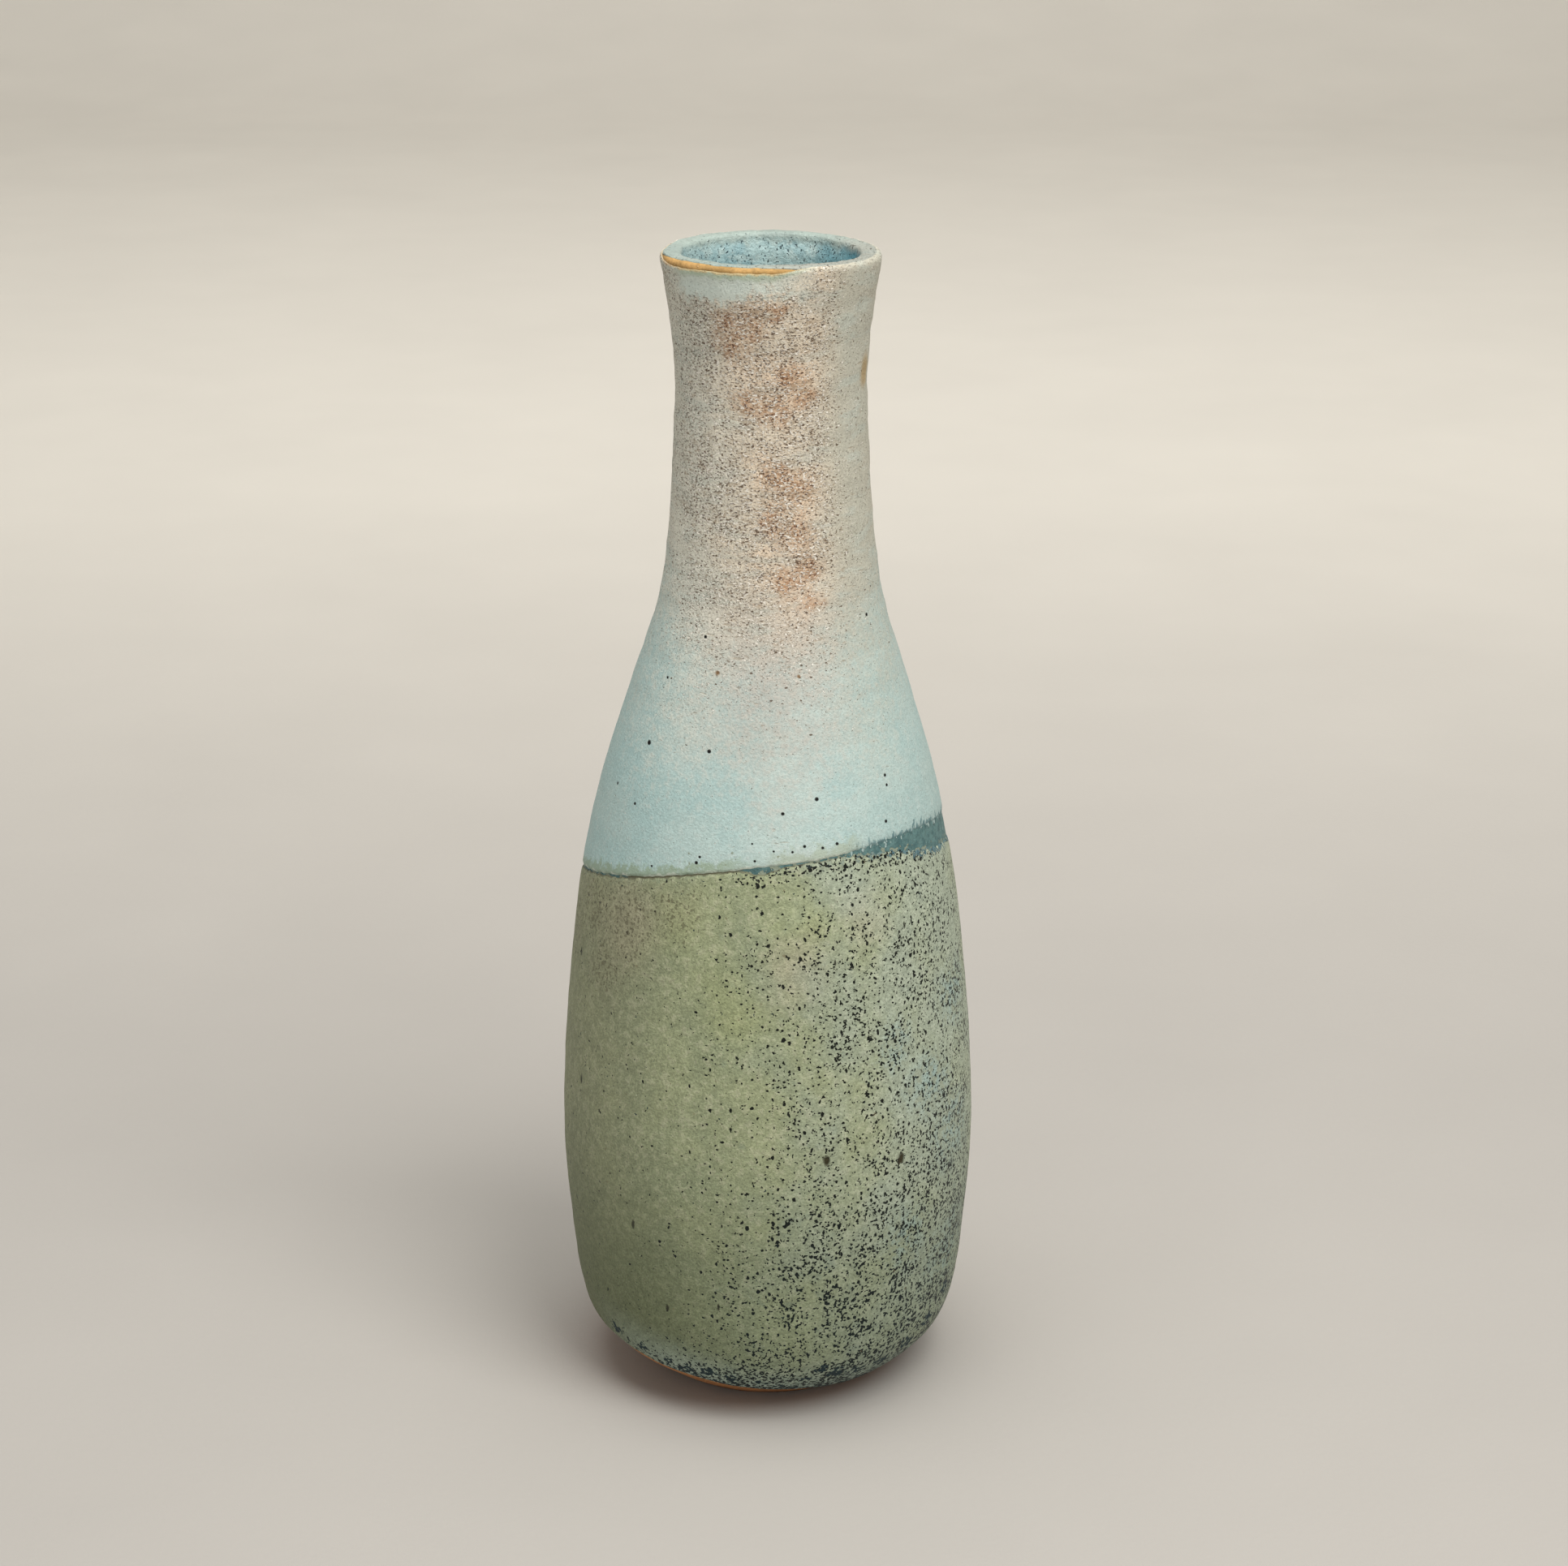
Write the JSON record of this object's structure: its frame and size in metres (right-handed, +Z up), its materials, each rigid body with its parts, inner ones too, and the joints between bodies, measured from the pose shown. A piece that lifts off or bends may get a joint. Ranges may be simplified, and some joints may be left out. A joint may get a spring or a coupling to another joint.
{
  "type": "bud vase",
  "caption": "Slender stoneware bud vase with a flared lip, straight neck, sloping shoulder and rounded base, dipped in two matte glazes.",
  "frame": {"origin": "centre of the foot's standing plane, on the vase's axis", "axes": "+Z up the vase's axis, -Y towards the front, +X to the right"},
  "size_m": [0.0724, 0.0724, 0.2],
  "materials": {
    "stoneware": "matte",
    "liner_glaze": "satin",
    "slate_glaze": "matte",
    "sage_glaze": "matte",
    "pale_glaze": "matte"
  },
  "bodies": {
    "root": {"stoneware_body": "stoneware", "liner_glaze": "liner_glaze", "slate_undercoat": "slate_glaze", "sage_coat": "sage_glaze", "pale_coat": "pale_glaze"}
  },
  "joints": []
}
